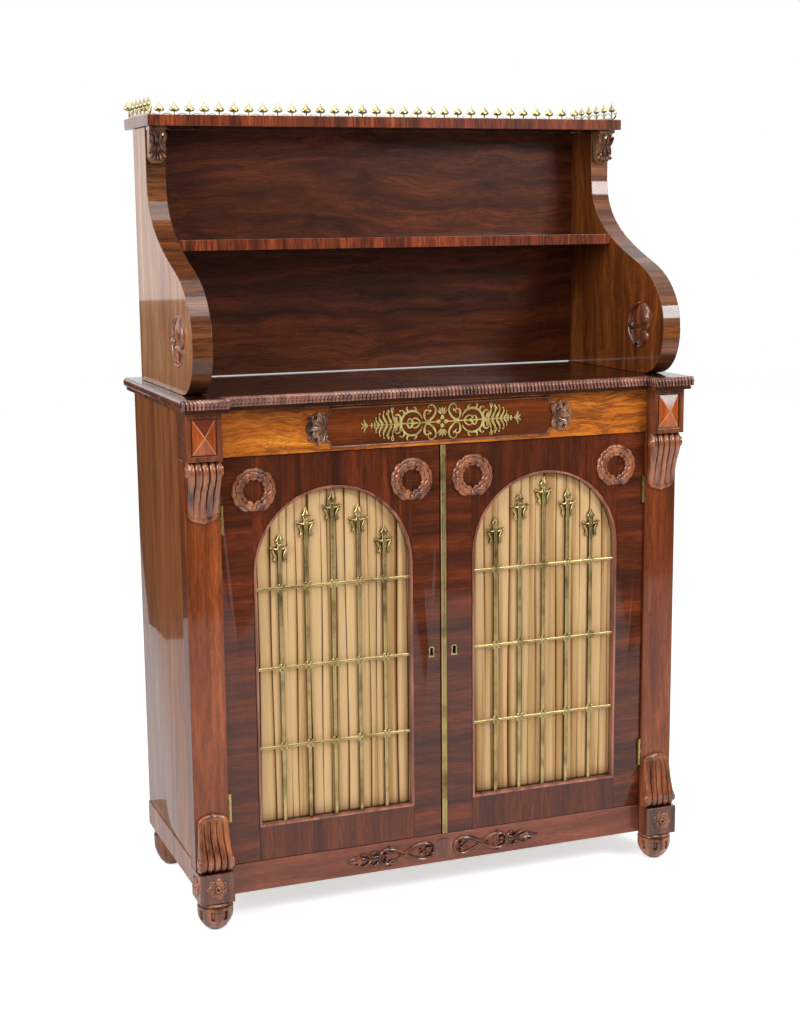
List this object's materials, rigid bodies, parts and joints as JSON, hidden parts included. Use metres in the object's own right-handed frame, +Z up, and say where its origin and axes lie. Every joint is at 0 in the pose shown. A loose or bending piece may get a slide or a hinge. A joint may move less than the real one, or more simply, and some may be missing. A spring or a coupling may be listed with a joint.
{
  "type": "chiffonier",
  "caption": "Freestanding cupboard with two arched grille doors over pleated silk, a gadrooned counter, and a shelf unit with scroll-shaped ends and a brass gallery above.",
  "frame": {"origin": "on the floor, under the middle of the whole piece's width and depth", "axes": "+Z up; +X to the right as seen from the front; +Y from the front to the back, so the doors face -Y"},
  "size_m": [0.954, 0.447, 1.4293],
  "materials": {
    "rosewood": "polished, dark streaks on red-brown",
    "carved_rosewood": "polished, darker in the hollows",
    "golden_rosewood": "polished, orange-gold figure",
    "secondary_wood": "plain, unpolished",
    "brass": "aged, satin",
    "silk": "pleated, soft sheen",
    "iron": "dark"
  },
  "bodies": {
    "carcase": {"left_side_panel": "rosewood", "right_side_panel": "rosewood", "left_pilaster": "rosewood", "right_pilaster": "rosewood", "front_apron": "rosewood", "counter_top": "rosewood", "left_scroll_end": "rosewood", "right_scroll_end": "rosewood", "superstructure_back": "rosewood", "upper_shelf": "rosewood", "top_board": "rosewood", "left_upper_corbel": "carved_rosewood", "right_upper_corbel": "carved_rosewood", "left_lower_corbel": "carved_rosewood", "right_lower_corbel": "carved_rosewood", "left_front_foot": "carved_rosewood", "right_front_foot": "carved_rosewood", "left_back_foot": "carved_rosewood", "right_back_foot": "carved_rosewood", "gadrooned_edge": "carved_rosewood", "left_leaf_bracket": "carved_rosewood", "right_leaf_bracket": "carved_rosewood", "frieze_rail": "golden_rosewood", "carcase_back": "secondary_wood", "bottom_board": "secondary_wood", "interior_shelf": "secondary_wood", "brass_inlay": "brass", "brass_gallery": "brass", "left_lower_jamb_leaf": "brass", "right_lower_jamb_leaf": "brass", "left_upper_jamb_leaf": "brass", "right_upper_jamb_leaf": "brass"},
    "left_door": {"left_door_hinge_stile": "rosewood", "left_door_lock_stile": "rosewood", "left_door_arched_rail": "rosewood", "left_door_bottom_rail": "rosewood", "left_door_opening_bead": "rosewood", "left_door_outer_wreath": "carved_rosewood", "left_door_inner_wreath": "carved_rosewood", "left_door_grille": "brass", "left_door_lower_leaf": "brass", "left_door_upper_leaf": "brass", "left_door_keyhole_liner": "brass", "left_door_silk": "silk"},
    "right_door": {"right_door_hinge_stile": "rosewood", "right_door_lock_stile": "rosewood", "right_door_arched_rail": "rosewood", "right_door_bottom_rail": "rosewood", "right_door_opening_bead": "rosewood", "right_door_outer_wreath": "carved_rosewood", "right_door_inner_wreath": "carved_rosewood", "right_door_grille": "brass", "right_door_lower_leaf": "brass", "right_door_upper_leaf": "brass", "right_door_meeting_strip": "brass", "right_door_silk": "silk", "right_door_lock_case": "iron"},
    "lock_bolt": {"right_door_lock_bolt": "brass"}
  },
  "joints": [
    {"name": "left_door_hinge", "type": "hinge", "parent": "carcase", "child": "left_door", "pos_m": [-0.402, -0.1715, 0.466], "axis": [0, 0, -1], "range_deg": [0, 90]},
    {"name": "right_door_hinge", "type": "hinge", "parent": "carcase", "child": "right_door", "pos_m": [0.402, -0.1715, 0.466], "axis": [0, 0, 1], "range_deg": [0, 90]},
    {"name": "lock_bolt_slide", "type": "slide", "parent": "right_door", "child": "lock_bolt", "axis": [-1, 0, 0], "range_m": [0, 0.008]}
  ]
}
